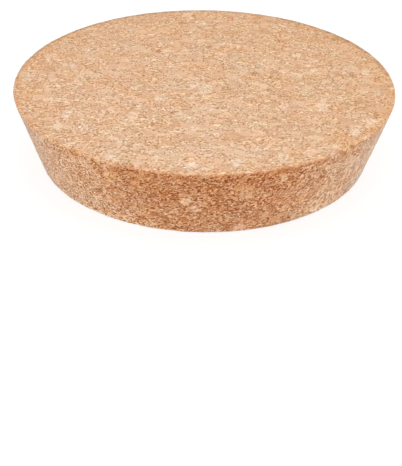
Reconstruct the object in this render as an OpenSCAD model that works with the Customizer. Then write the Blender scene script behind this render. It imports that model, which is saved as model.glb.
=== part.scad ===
// Tapered cork stopper for a wide round jar mouth.
// One solid of agglomerated cork, cut from sheet and ground to its taper, with both edges broken.
// Origin: centre of the narrow bottom face. +Z points up, towards the wide top face.

/* [Stopper] */
// Diameter of the wide top face, to the corner before its edge is broken
top_d = 102; // [92:0.5:115]
// Diameter of the narrow bottom face, to the corner before its edge is broken
bottom_d = 89; // [60:0.5:100]
// Thickness, face to face
thickness = 20; // [10:0.5:40]

/* [Edges] */
// Radius of the break round the top edge
top_edge_r = 0.5; // [0.1:0.1:2]
// Radius of the break round the bottom edge
bottom_edge_r = 0.5; // [0.1:0.1:2]

/* [Hidden] */
cork = "burlywood";
turn_fn = 240;
edge_fn = 48;

// The half section's corners before they are broken, as [radius, height]
axis_bottom = [0, 0];
bottom_corner = [bottom_d / 2, 0];
top_corner = [top_d / 2, thickness];
axis_top = [0, thickness];

function unit(v) = v / norm(v);

// Half the angle at corner p of a section, between its neighbours a and b
function half_angle(p, a, b) = acos(unit(a - p) * unit(b - p)) / 2;

// Where a break of radius r at corner p leaves the straight side towards a
function tangent_point(p, a, b, r) = p + unit(a - p) * r / tan(half_angle(p, a, b));

// Centre of a break of radius r at corner p
function break_centre(p, a, b, r) =
    p + unit(unit(a - p) + unit(b - p)) * r / sin(half_angle(p, a, b));

// The arc that breaks corner p, as a full circle that touches both sides there
module edge_break(p, a, b, r) {
    translate(break_centre(p, a, b, r)) circle(r, $fn = edge_fn);
}

// Half of the stopper's section: straight sides between the tangent points, and an arc at each edge
module section() {
    polygon([
        axis_bottom,
        tangent_point(bottom_corner, axis_bottom, top_corner, bottom_edge_r),
        tangent_point(bottom_corner, top_corner, axis_bottom, bottom_edge_r),
        tangent_point(top_corner, bottom_corner, axis_top, top_edge_r),
        tangent_point(top_corner, axis_top, bottom_corner, top_edge_r),
        axis_top
    ]);
    edge_break(bottom_corner, axis_bottom, top_corner, bottom_edge_r);
    edge_break(top_corner, bottom_corner, axis_top, top_edge_r);
}

module stopper() {
    color(cork) rotate_extrude($fn = turn_fn) section();
}

stopper();
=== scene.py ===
"""Looks of the cork stopper: fine-grain agglomerated cork, sanded on its faces and ground to its taper.

One closed mesh stands for the CAD stopper. Its relief (uneven granules, open pores, a chipped rim) and its
colours come from the same three-dimensional grain, which a geometry tree and a shader tree both build.
"""

import math

import bpy
import numpy as np
from mathutils import Matrix, Vector


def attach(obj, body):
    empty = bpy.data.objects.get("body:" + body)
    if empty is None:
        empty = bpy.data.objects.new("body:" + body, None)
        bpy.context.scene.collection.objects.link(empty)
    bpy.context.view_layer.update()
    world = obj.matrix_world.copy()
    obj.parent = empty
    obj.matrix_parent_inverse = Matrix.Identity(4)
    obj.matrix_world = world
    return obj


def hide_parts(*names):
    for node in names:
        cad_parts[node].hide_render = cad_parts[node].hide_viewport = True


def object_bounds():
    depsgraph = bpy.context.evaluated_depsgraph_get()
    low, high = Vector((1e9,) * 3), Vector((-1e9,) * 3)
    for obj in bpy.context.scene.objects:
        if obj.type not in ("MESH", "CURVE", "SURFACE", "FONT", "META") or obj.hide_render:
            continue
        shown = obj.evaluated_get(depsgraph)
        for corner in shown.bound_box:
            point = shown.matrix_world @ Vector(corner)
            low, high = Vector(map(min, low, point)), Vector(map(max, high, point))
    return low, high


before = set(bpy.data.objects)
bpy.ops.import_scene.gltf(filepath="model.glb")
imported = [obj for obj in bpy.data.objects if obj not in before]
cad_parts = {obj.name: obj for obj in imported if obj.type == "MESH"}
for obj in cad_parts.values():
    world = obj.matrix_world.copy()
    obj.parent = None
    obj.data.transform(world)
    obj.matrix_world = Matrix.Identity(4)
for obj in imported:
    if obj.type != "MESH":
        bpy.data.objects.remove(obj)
cad_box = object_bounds()

MM = 0.001
# The stopper's largest radius and its height, in millimetres
TOP_RADIUS = cad_box[1][0] / MM
THICKNESS = cad_box[1][2] / MM

# ---------------------------------------------------------------- the mesh

# A face is made of rings, and the ring with number k has k points in each sector
FACE_RINGS = 102
SECTORS = 6
WALL_ROWS = 40
BOTTOM_EDGE_ROWS = 3
TOP_EDGE_ROWS = 4
RIM_POINTS = SECTORS * FACE_RINGS
# The wall is the one stretch of the CAD stopper's half section that is longer than this
SHORTEST_STRAIGHT = 1.0 * MM
# Points of the section that are the same to this many digits, in metres, are one point
SECTION_DIGITS = 6

# ---------------------------------------------------------------- the grain, in millimetres

# Each kind of cell has a size, and a shift that keeps it from lining up with the other kinds
FINE_CELLS = (0.45, 0.0)
MEDIUM_CELLS = (0.9, 31.7)
LARGE_CELLS = (1.7, 47.9)
FLECK_CELLS = (5.2, 63.1)
PORE_CELLS = (2.4, 97.3)
# The share of the large and of the medium cells that are one whole granule
WHOLE_LARGE = 0.16
WHOLE_MEDIUM = 0.30
# A distance to an edge that is longer than any real one
NO_EDGE = 9.0
# What bends the cells' straight edges: the size of each bend, and how far it moves a place
BROAD_BEND = (1.7, 0.8)
CLOSE_BEND = (0.5, 0.3)
# The granules are pressed flat, so heights count for more
FLATNESS = 1.8
# How densely the grain repeats along x, y and z. The faces are sanded along x, which draws it out that way.
FACE_DENSITY = (0.72, 1.10, 1.0)
WALL_DENSITY = (1.14, 1.14, 1.08)
# On the right of the wall the granules lean: drawn out along LEAN and pressed together along ACROSS. Each is
# a direction, the place along it from which that starts, and how much.
LEAN = ((0.42, 0.33, 0.845), -1.0, 0.42)
ACROSS = ((0.666, 0.521, -0.534), -22.0, -0.55)

# A fleck is a pale blob at the middle of some of the widest cells
FLECK_SHARE = 0.25
FLECK_RADII = (0.6, 2.2)
FLECK_SOFTNESS = 0.35
# A pore is where a granule broke out. Its depth goes from none to full between two distances inside its edge.
FACE_PORE_SHARE = 0.04
WALL_PORE_SHARE = 0.12
PORE_RADII = (0.25, 0.75)
PORE_SLOPE = (-0.05, 0.45)
# Gaps follow the granules' edges. They open more in some places than in others, and a little more on the
# wall.
OPENNESS_SIZE = 0.6
OPENNESS = (0.50, 0.80)
WALL_OPENNESS = 0.035
GAP_WIDTHS = (0.0, 0.24)
GAP_SOFTNESS = (-0.03, 0.05)
# How many times narrower than the others the gaps between fine cells are
FINE_GAP_FACTOR = 1.8

# How far the relief sinks the surface: its granules on the faces and on the wall, slow swells, and pores
GRANULE_DEPTHS = (0.05, 0.11)
SWELL_SIZE = 3.0
SWELL_RANGE = (0.3, 0.7)
SWELL_DEPTH = 0.05
PORE_DEPTH = 0.35
# The rim is softer than the rest, and has lost a few granules
CHIP_SIZE = 1.4
CHIP_RANGE = (0.52, 0.72)
CHIP_DEPTH = 0.9

# ---------------------------------------------------------------- fine tones

# How much each part of the grain lightens or darkens the cork. linear() below turns that into light.
GRANULE_TONE = 0.10
SPARK_TONE = 0.08
MOTTLE_TONE = 0.14
PATCH_TONE = 0.08
EDGE_TONE = 0.04
# The gaps' darkening is painted shade in the voids between granules
GAP_SHADE_TONE = -0.25
# A pore's darkening is painted shade in its hollow, which the relief also sinks
PORE_SHADE_TONE = -0.22
# The palest granules spark, and those on the wall spark less
SPARK_RANGE = (0.92, 1.0)
WALL_SPARK = 0.4
MOTTLE_SIZE = 0.28
MOTTLE_DETAIL = 0.6
PATCH_SIZE = 0.45
# How far inside a granule its lighter edge starts and is full
EDGE_RANGE = (0.30, 0.12)
# How much of the tone inside it a granule lacks that is one whole large or medium cell
LARGE_CALM = 0.6
MEDIUM_CALM = 0.3
# What share of the fine tone stays in a pale granule, on the faces and on the wall
PALE_REST = (0.65, 0.35)
# How strongly the fine tone shows. On the wall this grows to the right, over a range in shares of the radius.
FACE_FINE_CONTRAST = 1.09
WALL_FINE_CONTRAST = 3.0
RIGHT_FINE_CONTRAST = 3.6
RIGHT_CONTRAST_RANGE = (0.2, 0.6)

# The curve from sRGB to linear light
SRGB_OFFSET = 0.055
SRGB_POWER = 2.4
# How fast a dark tone turns to the deepest shade, and what each channel keeps of its light there
SHADE_RATE = 5.3
FACE_DEEP = (0.48, 0.27, 0.0)
WALL_DEEP = (0.45, 0.20, 0.0)
# How much light a light tone adds to each channel, and how soon that levels off on the wall
FACE_GLINT = (1.36, 2.55, 2.65)
WALL_GLINT = (1.42, 2.90, 4.30)
GLINT_LIMIT = 1.5

# ---------------------------------------------------------------- colours

FACE_COLOUR = "e0b28e"
WALL_COLOUR = "db955c"

# Broad tones lean to a colour: a darker one is browner, and a lighter one is paler
LARGE_TONE = 0.010
DRIFT_SIZE = 6.0
DRIFT_TONE = 0.05
BROAD_LEAN = (0.0, 1.05, 2.1)
# Some places are more orange, and others greyer
HUE_TONE = 0.012
HUE_DRIFT_SIZE = 7.0
HUE_DRIFT_TONE = 0.024
HUE_LEAN = (0.9, 0.0, -0.5)
# Some places are a little greener, and others a little pinker
GREEN_SIZE = 2.5
GREEN_TONE = 0.016
GREEN_LEAN = (-0.3, 0.8, -0.5)
FLECK_STEP = (0.028, 0.055, 0.07)

# The surface's shine. Its roughness follows the mottle over this range.
ROUGHNESS_RANGE = (0.3, 0.7)
ROUGHNESS = (0.72, 0.58)
IOR = 1.45
SPECULAR = 0.3
SHEEN = 0.5
SHEEN_ROUGHNESS = 0.3
# Small bumps: how far inside a granule they rise, their strength on the faces and on the wall, their depth
BUMP_RANGE = (0.0, 0.35)
BUMP_STRENGTHS = (0.5, 0.8)
BUMP_DEPTH = 0.05

# ---------------------------------------------------------------- slow changes of colour

# A range is in shares of the radius where it doesn't say millimetres: outwards, towards the back, or round
# the wall to one side.

# The front of the top face is paler and its back darker and warmer, which is painted light falling more on
# the front than the back, and its right and its rim are warmer
FRONT_PAINTED_LIGHT_STEP = (0.012, 0.016, 0.020)
BACK_SHADE_AND_WARMTH_STEP = (-0.010, -0.026, -0.046)
RIGHT_STEP = (-0.006, -0.010, -0.022)
# The warm rim: how it grows outwards and towards the back, and how it fades again at the very back
RIM_STEP = (-0.012, -0.032, -0.048)
RIM_RANGE = (0.80, 0.98)
RIM_FRONT_RANGE = (-0.75, -0.25)
RIM_BACK_RANGE = (0.5, 0.8)
RIM_BACK_FADE = 0.6
# A line along the end of the top face, in millimetres inside the stopper's largest radius. It grows from the
# sides to the front and to the back.
FRONT_LINE_STEP = (0.008, -0.016, -0.030)
BACK_LINE_STEP = (-0.105, -0.085, -0.070)
LINE_INSETS = (2.0, 1.0)
LINE_RANGE = (0.0, 0.5)

# The wall pales downwards, which is painted light from the floor, and round to its sides, which is painted
# sheen where the wall is seen edge-on
UPPER_WALL_STEP = (-0.020, -0.034, -0.040)
UPPER_SIDE_FADE = 0.8
LOWER_WALL_FLOOR_LIGHT_STEP = (0.054, 0.080, 0.092)
SIDE_WALL_SHEEN_STEP = (0.044, 0.090, 0.107)
LEFT_SIDE_RANGE = (0.30, 0.60)
RIGHT_SIDE_RANGE = (0.40, 0.65)
# Its far left and its far right, of which the right one is paler with painted sheen and starts some
# millimetres above the bottom
LEFT_END_STEP = (-0.045, -0.032, -0.032)
LEFT_END_RANGE = (0.84, 0.94)
RIGHT_END_SHEEN_STEP = (0.008, 0.022, 0.030)
RIGHT_END_RANGE = (0.78, 0.90)
RIGHT_END_HEIGHTS = (2.0, 3.0)
# The sides under the rim, in millimetres down from the top
SIDE_TOP_STEP = (-0.012, -0.022, -0.032)
SIDE_TOP_DEPTHS = (3.5, 1.5)
# The bottom lip, from its upper end down, in millimetres, is a band of painted light from the floor. It is
# palest to the left of the front, and past LIP_LAST it is darker.
LIP_FLOOR_LIGHT_STEP = (0.065, 0.110, 0.120)
LIP_HEIGHTS = (3.5, 1.0)
LIP_MIDDLE = -0.35
LIP_REACH = 0.35
LIP_SHARES = (0.3, 1.0)
LIP_LAST = 0.7
PAST_LIP_SHARE = -0.35

# ---------------------------------------------------------------- the camera and the photograph's frame

FRAME_PIXELS = (402, 466)
SENSOR = 36.0
FOCAL_PIXELS = 1182
CLIP_START = 0.01
VIEW_DOWN = math.radians(32.39)
VIEW_ROLL = math.radians(-0.77)
# Where the part's origin lies in the camera's view, in metres: to the right, up and ahead
ORIGIN_IN_VIEW = (0.00068, 0.02383, 0.3271)

# ---------------------------------------------------------------- the studio

FLOOR_HALF = 3.0
# The camera sees a floor that glows white, with a little grey for the shadow. Other rays meet a plain one.
FLOOR_GLOW = 0.80
SHOWN_FLOOR_GREY = 0.28
LIT_FLOOR_GREY = 0.75
# The backdrop's strength as a light, and as the camera sees it
WORLD_LIGHT = 0.44
WORLD_SHOWN = 1.0
# Each soft box: its place, its size and its power. All face the same place.
LAMPS = {
    "overhead": ((0.0, 0.1, 0.9), 0.8, 3.3),
    "left": ((-0.8, -0.2, 0.35), 0.6, 2.0),
    "right": ((0.8, -0.2, 0.35), 0.6, 2.0),
    "front": ((0.0, -1.0, 0.4), 0.6, 2.3),
}
LAMP_AIM = (0, 0, 0.01)

# ---------------------------------------------------------------- the marks that show most

# How each kind of mark changes the cork's colour
CREAM = (0.062, 0.104, 0.126)
CHIP = (0.062, 0.112, 0.138)
PALE = (0.035, 0.080, 0.107)
ROSY = (0.064, 0.087, 0.125)
HAZE = (0.023, 0.056, 0.078)
# A pit mark is a dark speck of painted shade, for a small pit that the relief doesn't have
PIT_SHADE = (-0.125, -0.149, -0.160)
RUST = (-0.066, -0.104, -0.117)
AMBER = (0.006, -0.026, -0.037)
TAN = (-0.057, -0.085, -0.117)
# A mark's outline is as uneven as the granules. Its bends are RAGGED_SIZE millimetres across, and the rest is
# in pixels of the photograph's frame.
RAGGED_SIZE = 1.0
RAGGEDNESS = 1.75
MARK_SOFTNESS = 0.6
OUTSIDE_MARKS = -4.0

# Each mark's place in the photograph's frame, its width and height there in pixels, its kind and its strength
MARKS = [
    # Pale granules on the top face, from left to right
    (26, 79, 11, 4, HAZE, 1.7),
    (58, 126, 10, 6, CREAM, 0.7),
    (55, 79, 14, 4, HAZE, 1.2),
    (66, 116, 9, 5, PALE, 1.4),
    (68, 145, 9, 4, CREAM, 0.8),
    (73, 66, 8, 5, ROSY, 0.65),
    (79, 83, 9, 4, PALE, 0.4),
    (87, 49, 7, 4, ROSY, 0.75),
    (105, 155, 12, 6, CREAM, 0.2),
    (117, 74, 6, 6, HAZE, 1.0),
    (119, 143, 7, 6, PALE, 0.8),
    (125, 46, 6, 6, HAZE, 0.8),
    (133, 115, 9, 7, ROSY, 0.85),
    (138, 163, 8, 8, PALE, 0.75),
    (155, 163, 15, 7, ROSY, 0.4),
    (156, 157, 9, 4, CREAM, 0.6),
    (160, 99, 13, 4, PALE, 1.3),
    (169, 51, 14, 3, CREAM, 1.0),
    (171, 65, 9, 5, CREAM, 0.7),
    (193, 165, 10, 6, CREAM, 1.1),
    (194, 86, 11, 5, ROSY, 1.1),
    (195, 128, 10, 5, CREAM, 1.0),
    (203, 25, 9, 8, HAZE, 0.7),
    (205, 89, 15, 10, HAZE, 1.4),
    (207, 169, 14, 5, PALE, 0.7),
    (209, 107, 9, 8, ROSY, 0.7),
    (220, 53, 12, 4, CREAM, 0.35),
    (232, 77, 15, 7, PALE, 0.55),
    (236, 162, 13, 7, PALE, 1.0),
    (243, 72, 8, 7, HAZE, 1.0),
    (262, 91, 14, 7, CREAM, 0.6),
    (283, 157, 11, 10, PALE, 1.0),
    (284, 71, 8, 4, CREAM, 1.1),
    (284, 106, 10, 6, ROSY, 0.9),
    (289, 28, 12, 4, HAZE, 0.5),
    (296, 55, 8, 4, CREAM, 1.2),
    (310, 72, 14, 4, HAZE, 0.6),
    (310, 152, 15, 6, ROSY, 0.7),
    (314, 61, 9, 8, HAZE, 0.6),
    (322, 107, 12, 10, PALE, 1.2),
    (324, 99, 5, 9, PALE, 0.6),
    (336, 146, 7, 4, CREAM, 0.9),
    (348, 79, 10, 4, HAZE, 1.0),
    (355, 132, 10, 7, CREAM, 1.0),
    (363, 90, 13, 9, HAZE, 0.55),
    (365, 71, 9, 7, PALE, 1.1),
    (369, 121, 14, 6, ROSY, 1.15),
    (377, 93, 8, 6, HAZE, 1.0),
    # Brown and amber ones
    (80, 38, 24, 7, AMBER, 0.3),
    (107, 112, 4, 5, PIT_SHADE, 0.5),
    (127, 88, 5, 6, AMBER, 1.0),
    (130, 146, 6, 3, PIT_SHADE, 1.4),
    (141, 149, 4, 2, PIT_SHADE, 0.9),
    (151, 37, 4, 3, PIT_SHADE, 0.7),
    (153, 124, 6, 3, PIT_SHADE, 1.1),
    (159, 51, 5, 3, PIT_SHADE, 1.0),
    (173, 112, 6, 3, RUST, 1.6),
    (182, 23, 5, 3, PIT_SHADE, 0.8),
    (209, 47, 7, 3, TAN, 1.5),
    (227, 89, 11, 7, TAN, 0.6),
    (232, 17, 9, 4, AMBER, 1.3),
    (255, 73, 7, 3, TAN, 1.5),
    (267, 90, 9, 3, PIT_SHADE, 0.9),
    (336, 39, 7, 4, TAN, 1.9),
    (352, 74, 5, 5, RUST, 1.1),
    (354, 103, 24, 5, TAN, 0.6),
    (376, 115, 7, 4, RUST, 0.95),
    # On the wall
    (50, 176, 10, 5, HAZE, 0.25),
    (70, 153, 15, 10, RUST, 0.45),
    (70, 161, 10, 4, ROSY, 1.25),
    (82, 162, 9, 4, CHIP, 1.15),
    (98, 190, 5, 4, PIT_SHADE, 1.6),
    (105, 167, 7, 5, ROSY, 1.55),
    (106, 174, 7, 6, CHIP, 1.1),
    (120, 167, 12, 8, RUST, 0.6),
    (132, 169, 7, 8, RUST, 0.5),
    (126, 217, 11, 4, ROSY, 0.9),
    (141, 218, 4, 3, PIT_SHADE, 1.2),
    (158, 210, 9, 4, CHIP, 1.3),
    (167, 221, 4, 4, PIT_SHADE, 1.0),
    (175, 228, 5, 4, PIT_SHADE, 1.7),
    (183, 179, 12, 6, RUST, 0.1),
    (183, 208, 8, 8, AMBER, 0.8),
    (185, 202, 12, 7, CHIP, 2.05),
    (186, 228, 8, 7, RUST, 0.6),
    (195, 209, 11, 5, CHIP, 1.85),
    (205, 224, 6, 9, RUST, 0.2),
    (227, 176, 16, 5, RUST, 0.6),
    (228, 219, 5, 5, ROSY, 1.15),
    (229, 227, 9, 5, RUST, 0.75),
    (240, 227, 10, 7, ROSY, 1.8),
    (245, 195, 15, 10, HAZE, 2.0),
    (260, 175, 12, 5, RUST, 0.75),
    (260, 187, 12, 9, RUST, 0.4),
    (284, 178, 9, 8, CHIP, 1.8),
    (288, 214, 12, 4, HAZE, 1.65),
    (289, 169, 14, 6, RUST, 0.6),
    (293, 181, 9, 4, RUST, 0.95),
    (308, 209, 12, 5, CHIP, 1.15),
    (320, 161, 15, 4, TAN, 0.2),
    (341, 152, 12, 4, RUST, 1.0),
    (352, 146, 5, 4, PIT_SHADE, 1.35),
    (352, 160, 12, 8, HAZE, 1.3),
]

# ---------------------------------------------------------------- nodes, for shader and geometry trees alike


def add(tree, kind, inputs=None, **settings):
    """Adds a node. An input that is a socket gets linked, and any other value is set."""
    made = tree.nodes.new(kind)
    for name, value in settings.items():
        setattr(made, name, value)
    for key, value in (inputs or {}).items():
        if isinstance(value, bpy.types.NodeSocket):
            tree.links.new(value, made.inputs[key])
        else:
            made.inputs[key].default_value = value
    return made


def calc(tree, operation, a, b=0.0, c=0.0):
    """A number worked out from others."""
    return add(tree, "ShaderNodeMath", {0: a, 1: b, 2: c}, operation=operation).outputs[0]


def vectors(tree, operation, a, b, c=(0.0, 0.0, 0.0)):
    """A vector worked out from others."""
    return add(tree, "ShaderNodeVectorMath", {0: a, 1: b, 2: c}, operation=operation).outputs[0]


def scaled(tree, vector, scale):
    """A vector with each part scaled by itself."""
    return vectors(tree, "MULTIPLY", vector, scale)


def joined(tree, parts):
    """Three numbers as a vector."""
    return add(tree, "ShaderNodeCombineXYZ", dict(enumerate(parts))).outputs[0]


def split(tree, vector):
    """A vector as three numbers."""
    return add(tree, "ShaderNodeSeparateXYZ", {0: vector}).outputs


def weighed(tree, share, a, b):
    """A number mixed from a to b."""
    return add(tree, "ShaderNodeMix", {0: share, 2: a, 3: b}).outputs[0]


def mixed(tree, share, a, b):
    """A vector mixed from a to b."""
    return add(tree, "ShaderNodeMix", {0: share, 4: a, 5: b}, data_type="VECTOR").outputs[1]


def ramped(tree, value, low, high, to_low=0.0, to_high=1.0):
    """value as it goes smoothly from low to high, turned into to_low to to_high."""
    inputs = {"Value": value, "From Min": low, "From Max": high, "To Min": to_low, "To Max": to_high}
    return add(tree, "ShaderNodeMapRange", inputs, interpolation_type="SMOOTHSTEP").outputs[0]


def swung(tree, value, amount, base=0.0):
    """base, with a random number from 0 to 1 added to it as -amount to amount."""
    return calc(tree, "MULTIPLY_ADD", calc(tree, "SUBTRACT", value, 0.5), 2 * amount, base)


def stepped(tree, vector, amount, step):
    """A vector with a step added in some amount."""
    return vectors(tree, "MULTIPLY_ADD", joined(tree, (amount,) * 3), step, vector)


def attribute(tree, name):
    """What the mesh keeps under a name: as a number and as a vector."""
    outputs = add(tree, "ShaderNodeAttribute", attribute_name=name).outputs
    return outputs["Fac"], outputs["Vector"]


def noise(tree, at, size, detail=2.0):
    """Noise whose features are about size millimetres across: its value and its colour."""
    made = add(tree, "ShaderNodeTexNoise", {"Vector": at, "Scale": 1 / size, "Detail": detail})
    return made.outputs["Fac"], made.outputs["Color"]


def cells(tree, at, size, shift):
    """Cells of about that size: three random numbers for each, and distances to its centre and its edge."""
    inputs = {"Vector": vectors(tree, "ADD", at, (shift,) * 3), "Scale": 1 / size}
    centre = add(tree, "ShaderNodeTexVoronoi", inputs, feature="F1")
    edge = add(tree, "ShaderNodeTexVoronoi", inputs, feature="DISTANCE_TO_EDGE")
    to_centre = calc(tree, "MULTIPLY", centre.outputs["Distance"], size)
    to_edge = calc(tree, "MULTIPLY", edge.outputs["Distance"], size)
    return split(tree, centre.outputs["Color"]), to_centre, to_edge


# ---------------------------------------------------------------- the grain


def grain_place(tree, metres):
    """A place in metres as millimetres of grain."""
    return scaled(tree, metres, (1 / MM, 1 / MM, FLATNESS / MM))


def drawn_out(tree, at, along, start, amount):
    """at, changed so that the grain beyond start is drawn out along a direction."""
    height = add(tree, "ShaderNodeVectorMath", {0: at, 1: along}, operation="DOT_PRODUCT").outputs["Value"]
    beyond = calc(tree, "MAXIMUM", calc(tree, "SUBTRACT", height, start), 0.0)
    return stepped(tree, at, beyond, tuple(-amount * part for part in along))


def bent(tree, at):
    """at, with straight lines bent, which makes the granules uneven."""
    bends = [(noise(tree, at, size, 1.0)[1], reach) for size, reach in (BROAD_BEND, CLOSE_BEND)]
    for colour, reach in bends:
        centred = vectors(tree, "SUBTRACT", colour, (0.5,) * 3)
        at = vectors(tree, "MULTIPLY_ADD", centred, (reach,) * 3, at)
    return at


class Granules:
    """Large cells, of which some are one granule. The rest hold medium cells, and most of those fine ones."""

    def __init__(self, tree, at):
        fine, _, fine_edge = cells(tree, at, *FINE_CELLS)
        medium, _, medium_edge = cells(tree, at, *MEDIUM_CELLS)
        large, _, large_edge = cells(tree, at, *LARGE_CELLS)
        whole_large = calc(tree, "LESS_THAN", large[2], WHOLE_LARGE)
        whole_medium = calc(tree, "LESS_THAN", medium[2], WHOLE_MEDIUM)
        self.large = joined(tree, large)
        small = mixed(tree, whole_medium, joined(tree, fine), joined(tree, medium))
        self.granule = mixed(tree, whole_large, small, self.large)
        medium_calm = calc(tree, "MULTIPLY", whole_medium, MEDIUM_CALM)
        large_calm = calc(tree, "MULTIPLY", whole_large, LARGE_CALM)
        self.calm = calc(tree, "MAXIMUM", large_calm, medium_calm)
        fine_edge = calc(tree, "MULTIPLY", fine_edge, FINE_GAP_FACTOR)
        small_edge = calc(tree, "MINIMUM", medium_edge, weighed(tree, whole_medium, fine_edge, NO_EDGE))
        self.edge = calc(tree, "MINIMUM", large_edge, weighed(tree, whole_large, small_edge, NO_EDGE))


class Grain:
    """The cork's grain at a place in millimetres. wall is 0 on the faces and 1 on the ground wall."""

    def __init__(self, tree, place, wall):
        leaning = drawn_out(tree, drawn_out(tree, place, *LEAN), *ACROSS)
        self.place = mixed(tree, wall, place, leaning)
        uneven = bent(tree, place)
        face = Granules(tree, scaled(tree, uneven, FACE_DENSITY))
        side = Granules(tree, scaled(tree, bent(tree, leaning), WALL_DENSITY))
        self.large = split(tree, mixed(tree, wall, face.large, side.large))
        self.granule = split(tree, mixed(tree, wall, face.granule, side.granule))
        self.calm = weighed(tree, wall, face.calm, side.calm)
        self.edge = weighed(tree, wall, face.edge, side.edge)
        self.fleck = self.make_fleck(tree, uneven)
        self.gap = self.make_gap(tree, wall)
        self.pore = self.make_pore(tree, uneven, wall)

    def make_fleck(self, tree, at):
        """1 inside a fleck, and 0 elsewhere."""
        fleck, to_centre, _ = cells(tree, at, *FLECK_CELLS)
        radius = ramped(tree, fleck[1], 0.0, 1.0, *FLECK_RADII)
        inside = ramped(tree, calc(tree, "SUBTRACT", radius, to_centre), 0.0, FLECK_SOFTNESS)
        return calc(tree, "MULTIPLY", inside, calc(tree, "GREATER_THAN", fleck[0], 1 - FLECK_SHARE))

    def make_gap(self, tree, wall):
        """1 in a gap between granules, and 0 elsewhere."""
        uneven = noise(tree, self.place, OPENNESS_SIZE, 1.0)[0]
        openness = calc(tree, "MULTIPLY_ADD", wall, WALL_OPENNESS, uneven)
        width = ramped(tree, openness, *OPENNESS, *GAP_WIDTHS)
        return ramped(tree, calc(tree, "SUBTRACT", width, self.edge), *GAP_SOFTNESS)

    def make_pore(self, tree, at, wall):
        """How deep a place is in a pore, from 0 to 1."""
        pore, to_centre, _ = cells(tree, at, *PORE_CELLS)
        least = calc(tree, "MULTIPLY_ADD", wall, FACE_PORE_SHARE - WALL_PORE_SHARE, 1 - FACE_PORE_SHARE)
        radius = ramped(tree, pore[1], 0.0, 1.0, *PORE_RADII)
        depth = ramped(tree, calc(tree, "SUBTRACT", radius, to_centre), *PORE_SLOPE)
        return calc(tree, "MULTIPLY", depth, calc(tree, "GREATER_THAN", pore[0], least))


# ---------------------------------------------------------------- what the mesh's points keep


def rise(values, start, end):
    """0 before start, 1 past end, and evenly between them. It falls where end is the lower one."""
    return ((values - start) / (end - start)).clip(0, 1)


def to_right(points):
    """How far round to the right points lie, from -1 at the left to 1 at the right."""
    return points[:, 0] / np.hypot(points[:, 0], points[:, 1]).clip(MM)


def fine_contrast(points, wall):
    """How strongly the fine grain shows at each point."""
    right = rise(to_right(points), *RIGHT_CONTRAST_RANGE)
    side = WALL_FINE_CONTRAST + (RIGHT_FINE_CONTRAST - WALL_FINE_CONTRAST) * right
    return FACE_FINE_CONTRAST + (side - FACE_FINE_CONTRAST) * wall


def face_tint(points):
    """The slow changes of colour over the faces."""
    x, y, _ = (points / np.abs(points).max(0)).T
    rim = rise(np.hypot(x, y), *RIM_RANGE) * rise(y, *RIM_FRONT_RANGE)
    rim = rim * (1 - RIM_BACK_FADE * rise(y, *RIM_BACK_RANGE))
    # Painted light: paler towards the front of the top face, darker towards its back
    tint = np.outer((1 - y) / 2, FRONT_PAINTED_LIGHT_STEP) + np.outer((1 + y) / 2, BACK_SHADE_AND_WARMTH_STEP)
    tint += np.outer(x.clip(0, 1), RIGHT_STEP) + np.outer(rim, RIM_STEP)
    inset = TOP_RADIUS - np.hypot(points[:, 0], points[:, 1]) / MM
    line = rise(inset, *LINE_INSETS) * rise(np.abs(y), *LINE_RANGE)
    return tint + line[:, None] * np.where(y[:, None] < 0, FRONT_LINE_STEP, BACK_LINE_STEP)


def wall_tint(points):
    """The slow changes of colour over the wall."""
    turned = to_right(points)
    up = points[:, 2] / MM
    height = up / THICKNESS
    sides = np.maximum(rise(-turned, *LEFT_SIDE_RANGE), rise(turned, *RIGHT_SIDE_RANGE))
    tint = np.outer(height * (1 - UPPER_SIDE_FADE * sides), UPPER_WALL_STEP)
    # Painted light from the floor towards the bottom, and painted sheen round to the sides
    tint += np.outer((1 - height) ** 2, LOWER_WALL_FLOOR_LIGHT_STEP) + np.outer(sides, SIDE_WALL_SHEEN_STEP)
    tint += np.outer(rise(-turned, *LEFT_END_RANGE), LEFT_END_STEP)
    # More painted sheen at the far right end
    tint += np.outer(rise(turned, *RIGHT_END_RANGE) * rise(up, *RIGHT_END_HEIGHTS), RIGHT_END_SHEEN_STEP)
    tint += np.outer(sides * rise(THICKNESS - up, *SIDE_TOP_DEPTHS), SIDE_TOP_STEP)
    # The lip's pale band is painted light from the floor
    return tint + np.outer(bottom_floor_light(turned, up) * (points[:, 1] < 0), LIP_FLOOR_LIGHT_STEP)


def bottom_floor_light(turned, up):
    """How much of the lip's painted floor light there is on the front of the wall."""
    least, most = LIP_SHARES
    at_front = least + (most - least) * rise(np.abs(turned - LIP_MIDDLE), LIP_REACH, 0)
    return rise(up, *LIP_HEIGHTS) * np.where(np.abs(turned) < LIP_LAST, at_front, PAST_LIP_SHARE)


def camera_axes():
    """The camera's place, and its directions to the right, up and ahead."""
    level_right = np.array([1, 0, 0])
    ahead = np.array([0, math.cos(VIEW_DOWN), -math.sin(VIEW_DOWN)])
    level_up = np.array([0, math.sin(VIEW_DOWN), math.cos(VIEW_DOWN)])
    right = level_right * math.cos(VIEW_ROLL) - level_up * math.sin(VIEW_ROLL)
    up = level_right * math.sin(VIEW_ROLL) + level_up * math.cos(VIEW_ROLL)
    x, y, z = ORIGIN_IN_VIEW
    return -(right * x + up * y + ahead * z), right, up, ahead


def frame_places(points):
    """Where points lie in the photograph's frame, in pixels."""
    place, right, up, ahead = camera_axes()
    rays = points - place
    across = rays @ right / (rays @ ahead) * FOCAL_PIXELS
    down = -rays @ up / (rays @ ahead) * FOCAL_PIXELS
    return FRAME_PIXELS[0] / 2 + across, FRAME_PIXELS[1] / 2 + down


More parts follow.
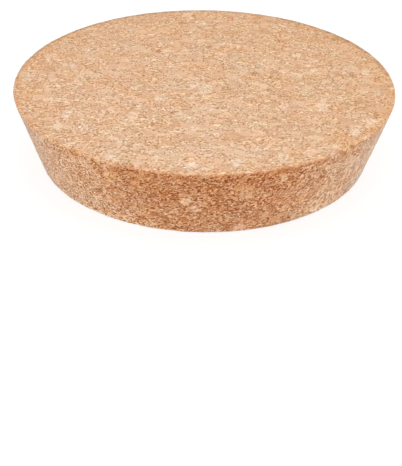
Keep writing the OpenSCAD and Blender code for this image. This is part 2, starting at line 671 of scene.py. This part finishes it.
def mark_attributes(points, normals):
    """How deep each point is in a mark, in pixels and below 0 outside, and that mark's colour step."""
    across, down = frame_places(points)
    shown = ((camera_axes()[0] - points) * normals).sum(1) > 0
    depth = np.full(len(points), OUTSIDE_MARKS)
    step = np.zeros((len(points), 3))
    for x, y, width, height, kind, strength in MARKS:
        reach = np.hypot((across - x) / width, (down - y) / height) * 2
        inside = (1 - reach) * min(width, height) / 2
        nearer = shown & (inside > depth)
        depth[nearer] = inside[nearer]
        step[nearer] = np.array(kind) * strength
    return depth, step


# ---------------------------------------------------------------- the stopper's mesh


def half_section():
    """(radius, height) along the CAD stopper's edge breaks and wall, from the bottom face to the top face."""
    places = [vertex.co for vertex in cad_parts["stopper"].data.vertices]
    points = {(round(math.hypot(p.x, p.y), SECTION_DIGITS), round(p.z, SECTION_DIGITS)) for p in places}
    return np.array(sorted(points, key=lambda point: point[1]))


def section_rows():
    """The half section at the mesh's rows, and how much of the wall's slope each row has, from 0 to 1."""
    section = half_section()
    lengths = np.hypot(*np.diff(section, axis=0).T)
    along = np.append(0, lengths.cumsum())
    straight = np.flatnonzero(lengths > SHORTEST_STRAIGHT)
    wall_start, wall_end = along[straight[0]], along[straight[-1] + 1]
    stops = np.concatenate([
        np.linspace(0, wall_start, BOTTOM_EDGE_ROWS + 1)[:-1],
        np.linspace(wall_start, wall_end, WALL_ROWS + 1)[:-1],
        np.linspace(wall_end, along[-1], TOP_EDGE_ROWS + 1),
    ])
    rows = np.stack([np.interp(stops, along, section[:, k]) for k in (0, 1)], 1)
    slope = np.interp(stops, [0, wall_start, wall_end, along[-1]], [0, 1, 1, 0])
    return rows, slope


def ring(count, radius, height):
    """Points evenly round the axis."""
    turns = np.arange(count) / count * 2 * math.pi
    return np.stack([radius * np.cos(turns), radius * np.sin(turns), np.full(count, height)], 1)


def face_triangles(number):
    """Triangles of a face, from the number of each place of each ring. Ring k has SECTORS * k places."""
    for k in range(1, FACE_RINGS + 1):
        for sector in range(SECTORS):
            for i in range(k):
                outer = sector * k + i
                inner = sector * (k - 1) + i
                yield number(k, outer), number(k, outer + 1), number(k - 1, inner)
                if i < k - 1:
                    yield number(k, outer + 1), number(k - 1, inner + 1), number(k - 1, inner)


def stopper_rings(rows, slope):
    """The mesh's rings of points with their share of the wall, under (face, ring) or ("row", row)."""
    rings = {}
    for face, (radius, height) in (("bottom", rows[0]), ("top", rows[-1])):
        for k in range(FACE_RINGS):
            rings[face, k] = ring(max(SECTORS * k, 1), radius * k / FACE_RINGS, height), 0.0
    for row, (radius, height) in enumerate(rows):
        rings["row", row] = ring(RIM_POINTS, radius, height), slope[row]
    return rings


def stopper_faces(starts, last_row):
    """The mesh's faces, from the number at which each ring starts."""

    def numbering(face, edge_row):
        def number(k, place):
            key = ("row", edge_row) if k == FACE_RINGS else (face, k)
            return starts[key] + (place % (SECTORS * k) if k else 0)

        return number

    faces = [triangle[::-1] for triangle in face_triangles(numbering("bottom", 0))]
    faces += list(face_triangles(numbering("top", last_row)))
    for row in range(last_row):
        low, high = starts["row", row], starts["row", row + 1]
        for i in range(RIM_POINTS):
            j = (i + 1) % RIM_POINTS
            faces.append((low + i, low + j, high + j, high + i))
    return faces


def keep(mesh, name, values):
    """Keeps a number or a vector for each vertex."""
    kind, field = ("FLOAT", "value") if values.ndim == 1 else ("FLOAT_VECTOR", "vector")
    mesh.attributes.new(name, kind, "POINT").data.foreach_set(field, values.astype(np.float32).ravel())


def stopper_mesh():
    """A closed mesh of the stopper, evenly divided to about half a millimetre, with what its points keep."""
    rows, slope = section_rows()
    rings = stopper_rings(rows, slope)
    counts = [len(places) for places, _ in rings.values()]
    starts = dict(zip(rings, np.append(0, np.cumsum(counts)[:-1]).tolist()))
    points = np.concatenate([places for places, _ in rings.values()])
    wall = np.repeat([share for _, share in rings.values()], counts)
    mesh = bpy.data.meshes.new("cork_stopper")
    mesh.from_pydata(points.tolist(), [], stopper_faces(starts, len(rows) - 1))
    mesh.shade_smooth()
    normals = np.array([normal.vector for normal in mesh.vertex_normals])
    depth, step = mark_attributes(points, normals)
    share = wall[:, None]
    keep(mesh, "wall", wall)
    keep(mesh, "tint", face_tint(points) * (1 - share) + wall_tint(points) * share)
    keep(mesh, "contrast", fine_contrast(points, wall))
    keep(mesh, "mark", depth)
    keep(mesh, "mark_step", step)
    return mesh


# ---------------------------------------------------------------- the relief


def sunk_depth(tree, grain, place, wall):
    """How far the surface sinks, in millimetres."""
    swell = ramped(tree, noise(tree, place, SWELL_SIZE)[0], *SWELL_RANGE, 0.0, SWELL_DEPTH)
    sunk = calc(tree, "MULTIPLY_ADD", grain.large[0], weighed(tree, wall, *GRANULE_DEPTHS), swell)
    sunk = calc(tree, "MULTIPLY_ADD", grain.pore, PORE_DEPTH, sunk)
    on_edge = calc(tree, "MULTIPLY", wall, calc(tree, "SUBTRACT", 1.0, wall))
    chips = ramped(tree, noise(tree, place, CHIP_SIZE)[0], *CHIP_RANGE)
    return calc(tree, "MULTIPLY_ADD", calc(tree, "MULTIPLY", on_edge, chips), CHIP_DEPTH, sunk)


def relief_tree():
    """Geometry nodes that sink the surface along its normals by the relief, and keep the pores' depth."""
    tree = bpy.data.node_groups.new("cork_relief", "GeometryNodeTree")
    tree.interface.new_socket("Geometry", in_out="INPUT", socket_type="NodeSocketGeometry")
    tree.interface.new_socket("Geometry", in_out="OUTPUT", socket_type="NodeSocketGeometry")
    start = tree.nodes.new("NodeGroupInput").outputs[0]
    wall = add(tree, "GeometryNodeInputNamedAttribute", {"Name": "wall"}).outputs[0]
    place = grain_place(tree, add(tree, "GeometryNodeInputPosition").outputs[0])
    grain = Grain(tree, place, wall)
    inward = calc(tree, "MULTIPLY", sunk_depth(tree, grain, place, wall), -MM)
    normal = add(tree, "GeometryNodeInputNormal").outputs[0]
    offset = add(tree, "ShaderNodeVectorMath", {0: normal, 3: inward}, operation="SCALE").outputs[0]
    kept = {"Geometry": start, "Name": "pore", "Value": grain.pore}
    marked = add(tree, "GeometryNodeStoreNamedAttribute", kept, data_type="FLOAT", domain="POINT").outputs[0]
    shaped = add(tree, "GeometryNodeSetPosition", {"Geometry": marked, "Offset": offset}).outputs[0]
    tree.links.new(shaped, tree.nodes.new("NodeGroupOutput").inputs[0])
    return tree


def with_relief(mesh):
    """The mesh with the relief's geometry nodes applied."""
    rough = bpy.data.objects.new("rough", mesh)
    bpy.context.scene.collection.objects.link(rough)
    rough.modifiers.new("relief", "NODES").node_group = relief_tree()
    graph = bpy.context.evaluated_depsgraph_get()
    shaped = rough.evaluated_get(graph)
    result = bpy.data.meshes.new_from_object(shaped, preserve_all_data_layers=True, depsgraph=graph)
    bpy.data.objects.remove(rough)
    bpy.data.meshes.remove(mesh)
    result.name = "cork_stopper"
    return result


# ---------------------------------------------------------------- the cork


def channels(code):
    """The channels of a six-digit sRGB code, from 0 to 1."""
    return tuple(int(code[i : i + 2], 16) / 255 for i in (0, 2, 4))


def fine_tone(tree, grain, wall, pale, mottle, patches):
    """How much lighter or darker the fine grain is. pale is 1 inside a pale granule."""
    tone = swung(tree, patches, PATCH_TONE, swung(tree, mottle, MOTTLE_TONE))
    tone = swung(tree, grain.granule[0], GRANULE_TONE, tone)
    sparking = ramped(tree, grain.granule[0], *SPARK_RANGE)
    spark = calc(tree, "MULTIPLY", sparking, weighed(tree, wall, 1.0, WALL_SPARK))
    tone = calc(tree, "MULTIPLY_ADD", spark, SPARK_TONE, tone)
    tone = calc(tree, "MULTIPLY", tone, calc(tree, "SUBTRACT", 1.0, grain.calm))
    tone = calc(tree, "MULTIPLY_ADD", ramped(tree, grain.edge, *EDGE_RANGE), EDGE_TONE, tone)
    # Painted shade in the gaps between granules
    tone = calc(tree, "MULTIPLY_ADD", grain.gap, GAP_SHADE_TONE, tone)
    tone = calc(tree, "MULTIPLY", tone, weighed(tree, pale, 1.0, weighed(tree, wall, *PALE_REST)))
    tone = calc(tree, "MULTIPLY", tone, attribute(tree, "contrast")[0])
    # Painted shade in the pores
    return calc(tree, "MULTIPLY_ADD", attribute(tree, "pore")[0], PORE_SHADE_TONE, tone)


def broad_colour(tree, grain, place, wall):
    """The cork's colour in sRGB, with its broad tones and its flecks but no mark or tint."""
    drift = noise(tree, place, DRIFT_SIZE)[0]
    broad = swung(tree, drift, DRIFT_TONE, swung(tree, grain.large[0], LARGE_TONE))
    warmth = split(tree, noise(tree, place, HUE_DRIFT_SIZE)[1])[1]
    hue = swung(tree, warmth, HUE_DRIFT_TONE, swung(tree, grain.large[0], HUE_TONE))
    green = swung(tree, noise(tree, place, GREEN_SIZE, 1.0)[0], GREEN_TONE)
    steps = ((broad, BROAD_LEAN), (hue, HUE_LEAN), (green, GREEN_LEAN), (grain.fleck, FLECK_STEP))
    colour = mixed(tree, wall, channels(FACE_COLOUR), channels(WALL_COLOUR))
    for amount, step in steps:
        colour = stepped(tree, colour, amount, step)
    return colour


def linear(tree, colour, tone, wall):
    """An sRGB colour made linear, with the fine tone in it: a dark tone mixes in the deepest shade, and a
    light one adds a glint. Both are linear light, so tones finer than a pixel mix without turning grey."""
    shifted = vectors(tree, "ADD", colour, (SRGB_OFFSET,) * 3)
    base = scaled(tree, shifted, (1 / (1 + SRGB_OFFSET),) * 3)
    slope = add(tree, "ShaderNodeGamma", {0: base, 1: SRGB_POWER - 1}).outputs[0]
    left = calc(tree, "EXPONENT", calc(tree, "MULTIPLY", calc(tree, "MINIMUM", tone, 0.0), SHADE_RATE))
    shade = mixed(tree, left, mixed(tree, wall, FACE_DEEP, WALL_DEEP), (1.0, 1.0, 1.0))
    light = calc(tree, "MAXIMUM", tone, 0.0)
    limit = calc(tree, "MULTIPLY_ADD", light, calc(tree, "MULTIPLY", wall, GLINT_LIMIT), 1.0)
    light = calc(tree, "DIVIDE", light, limit)
    glint = mixed(tree, wall, FACE_GLINT, WALL_GLINT)
    return scaled(tree, slope, stepped(tree, scaled(tree, base, shade), light, glint))


def cork():
    """Agglomerated cork: granules of many tans, pale flecks, gaps darkened with painted shade, browner where
    it was ground.
    """
    material = bpy.data.materials.new("agglomerated_cork")
    material.use_nodes = True
    tree = material.node_tree
    shader = tree.nodes["Principled BSDF"]
    place = grain_place(tree, add(tree, "ShaderNodeTexCoord").outputs["Object"])
    wall = attribute(tree, "wall")[0]
    grain = Grain(tree, place, wall)
    # Marks
    mark_step = attribute(tree, "mark_step")[1]
    depth = swung(tree, noise(tree, place, RAGGED_SIZE)[0], RAGGEDNESS, attribute(tree, "mark")[0])
    marked = ramped(tree, depth, -MARK_SOFTNESS, MARK_SOFTNESS)
    pale_mark = calc(tree, "MULTIPLY", marked, calc(tree, "GREATER_THAN", split(tree, mark_step)[2], 0.0))
    pale = calc(tree, "MAXIMUM", grain.fleck, pale_mark)
    # Colour
    dense = scaled(tree, grain.place, mixed(tree, wall, FACE_DENSITY, WALL_DENSITY))
    mottle = noise(tree, dense, MOTTLE_SIZE, MOTTLE_DETAIL)[0]
    patches = noise(tree, place, PATCH_SIZE, 1.0)[0]
    colour = stepped(tree, broad_colour(tree, grain, place, wall), marked, mark_step)
    colour = vectors(tree, "ADD", colour, attribute(tree, "tint")[1])
    tone = fine_tone(tree, grain, wall, pale, mottle, patches)
    tree.links.new(linear(tree, colour, tone, wall), shader.inputs["Base Color"])
    # Surface
    height = calc(tree, "ADD", ramped(tree, grain.edge, *BUMP_RANGE), patches)
    strength = weighed(tree, wall, *BUMP_STRENGTHS)
    bump = add(tree, "ShaderNodeBump", {"Height": height, "Strength": strength, "Distance": BUMP_DEPTH * MM})
    tree.links.new(bump.outputs[0], shader.inputs["Normal"])
    tree.links.new(ramped(tree, mottle, *ROUGHNESS_RANGE, *ROUGHNESS), shader.inputs["Roughness"])
    shader.inputs["IOR"].default_value = IOR
    shader.inputs["Specular IOR Level"].default_value = SPECULAR
    shader.inputs["Sheen Weight"].default_value = SHEEN
    shader.inputs["Sheen Roughness"].default_value = SHEEN_ROUGHNESS
    return material


def make_stopper():
    """The cork stopper, in place of the CAD one."""
    stopper = bpy.data.objects.new("cork_stopper", with_relief(stopper_mesh()))
    bpy.context.scene.collection.objects.link(stopper)
    stopper.data.materials.append(cork())
    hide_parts("stopper")
    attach(stopper, "root")


# ---------------------------------------------------------------- the camera, the backdrop and the lamps


def make_camera():
    """The photograph's camera."""
    place, right, up, ahead = (Vector(axis) for axis in camera_axes())
    data = bpy.data.cameras.new("camera")
    data.sensor_width = SENSOR
    data.lens = FOCAL_PIXELS / max(FRAME_PIXELS) * SENSOR
    data.clip_start = CLIP_START
    camera = bpy.data.objects.new("camera", data)
    camera.matrix_world = Matrix.Translation(place) @ Matrix((right, up, -ahead)).transposed().to_4x4()
    bpy.context.scene.collection.objects.link(camera)
    bpy.context.scene.camera = camera


def seen(tree):
    """1 for rays from the camera, and for those that a mirror or glass sends on."""
    path = add(tree, "ShaderNodeLightPath").outputs
    share = calc(tree, "MAXIMUM", path["Is Camera Ray"], path["Is Glossy Ray"])
    return calc(tree, "MAXIMUM", share, path["Is Transmission Ray"])


def plain(tree, grey):
    """A matt grey shader."""
    return add(tree, "ShaderNodeBsdfDiffuse", {"Color": (grey, grey, grey, 1)}).outputs[0]


def make_floor():
    """A wide white floor that keeps a soft shadow."""
    mesh = bpy.data.meshes.new("floor")
    corners = [(x * FLOOR_HALF, y * FLOOR_HALF, 0) for x, y in ((-1, -1), (1, -1), (1, 1), (-1, 1))]
    mesh.from_pydata(corners, [], [(0, 1, 2, 3)])
    floor = bpy.data.objects.new("floor", mesh)
    bpy.context.scene.collection.objects.link(floor)
    material = bpy.data.materials.new("floor")
    material.use_nodes = True
    tree = material.node_tree
    tree.nodes.remove(tree.nodes["Principled BSDF"])
    glow = add(tree, "ShaderNodeEmission", {"Color": (1, 1, 1, 1), "Strength": FLOOR_GLOW}).outputs[0]
    shown = add(tree, "ShaderNodeAddShader", {0: glow, 1: plain(tree, SHOWN_FLOOR_GREY)}).outputs[0]
    lit = plain(tree, LIT_FLOOR_GREY)
    both = add(tree, "ShaderNodeMixShader", {0: seen(tree), 1: lit, 2: shown}).outputs[0]
    tree.links.new(both, tree.nodes["Material Output"].inputs["Surface"])
    mesh.materials.append(material)


def make_world():
    """An even white backdrop, which is a dimmer light than it looks."""
    world = bpy.data.worlds.new("studio")
    world.use_nodes = True
    tree = world.node_tree
    background = tree.nodes["Background"]
    background.inputs["Color"].default_value = (1, 1, 1, 1)
    tree.links.new(weighed(tree, seen(tree), WORLD_LIGHT, WORLD_SHOWN), background.inputs["Strength"])
    bpy.context.scene.world = world


def make_lamp(name, place, size, power):
    """A square soft box that faces the stopper."""
    data = bpy.data.lights.new(name, "AREA")
    data.size = size
    data.energy = power
    lamp = bpy.data.objects.new(name, data)
    lamp.location = place
    lamp.rotation_euler = (Vector(LAMP_AIM) - Vector(place)).to_track_quat("-Z", "Y").to_euler()
    bpy.context.scene.collection.objects.link(lamp)


make_camera()
make_stopper()
make_floor()
make_world()
for lamp_name, settings in LAMPS.items():
    make_lamp(lamp_name, *settings)
bpy.context.scene.view_settings.view_transform = "Standard"
